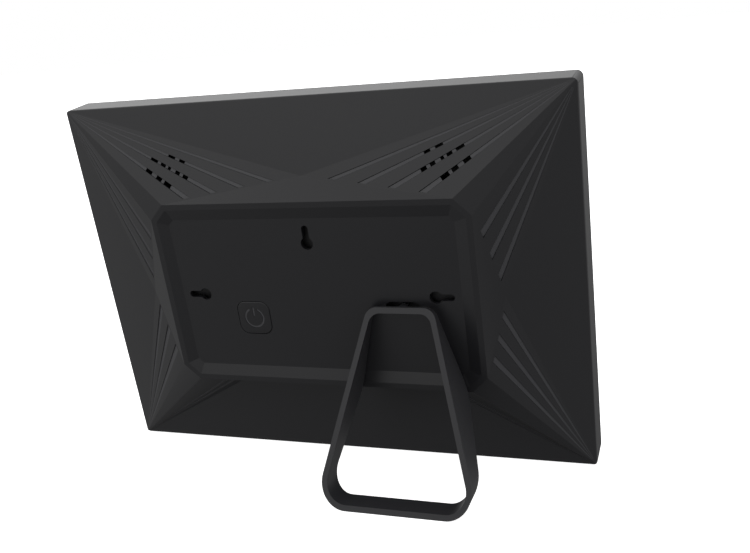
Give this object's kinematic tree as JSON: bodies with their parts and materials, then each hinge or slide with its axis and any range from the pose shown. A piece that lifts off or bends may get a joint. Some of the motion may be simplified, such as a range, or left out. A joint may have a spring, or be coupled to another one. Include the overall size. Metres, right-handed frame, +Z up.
{
  "type": "digital photo frame",
  "caption": "Black landscape digital photo frame with a faceted grooved back, keyhole wall mounts, a power button and a swivelling loop stand.",
  "frame": {"origin": "middle of the bounding box at table level", "axes": "+X to the viewer's right of the screen, +Y out of the back towards the stand, +Z up; the screen leans back by 5.4 degrees and faces -Y"},
  "size_m": [0.2714, 0.083, 0.2007],
  "materials": {
    "black_shell": "fine spark-eroded texture, matte",
    "button_black": "fine matte",
    "screen_glass": "clear, printed black border",
    "foam": "closed-cell foam tape",
    "lcd_glass": "polarised, dark",
    "white_film": "milky film",
    "clear_acrylic": "clear",
    "steel_sheet": "zinc plated",
    "screw_steel": "zinc plated",
    "green_board": "solder mask",
    "chip_black": "moulded epoxy",
    "can_steel": "tin plated",
    "amber_film": "polyimide",
    "white_plastic": "plain",
    "speaker_black": "plain"
  },
  "bodies": {
    "housing": {"rear_cover": "black_shell", "keyhole_cups": "black_shell", "front_bezel": "black_shell", "cover_glass": "screen_glass", "glass_gasket": "foam", "lcd_panel": "lcd_glass", "diffuser_sheet": "white_film", "light_guide": "clear_acrylic", "led_strip": "white_plastic", "backlight_tray": "steel_sheet", "panel_bracket": "steel_sheet", "bracket_screws": "screw_steel", "main_board": "green_board", "board_screws": "screw_steel", "main_chip": "chip_black", "memory_chips": "chip_black", "wifi_module": "can_steel", "display_flex": "amber_film", "wifi_antenna": "amber_film", "dc_jack": "speaker_black", "card_slot": "can_steel", "speaker_left": "speaker_black", "speaker_right": "speaker_black", "speaker_screws": "screw_steel", "button_board": "green_board", "button_switch": "speaker_black", "button_screws": "screw_steel", "pivot_spring": "screw_steel"},
    "stand": {"stand_loop": "black_shell", "pivot_washer": "screw_steel", "pivot_screw": "screw_steel"},
    "button": {"power_button": "button_black"}
  },
  "joints": [
    {"name": "stand_swivel", "type": "hinge", "parent": "housing", "child": "stand", "pos_m": [-0.0465, 0.00127, 0.0918], "axis": [0, 0.9956, -0.0941], "range_deg": [0, 90]},
    {"name": "button_press", "type": "slide", "parent": "housing", "child": "button", "axis": [0, -0.9956, 0.0941], "range_m": [0, 0.0008], "stiffness_N_per_m": 800, "springref_m": -0.0006}
  ]
}
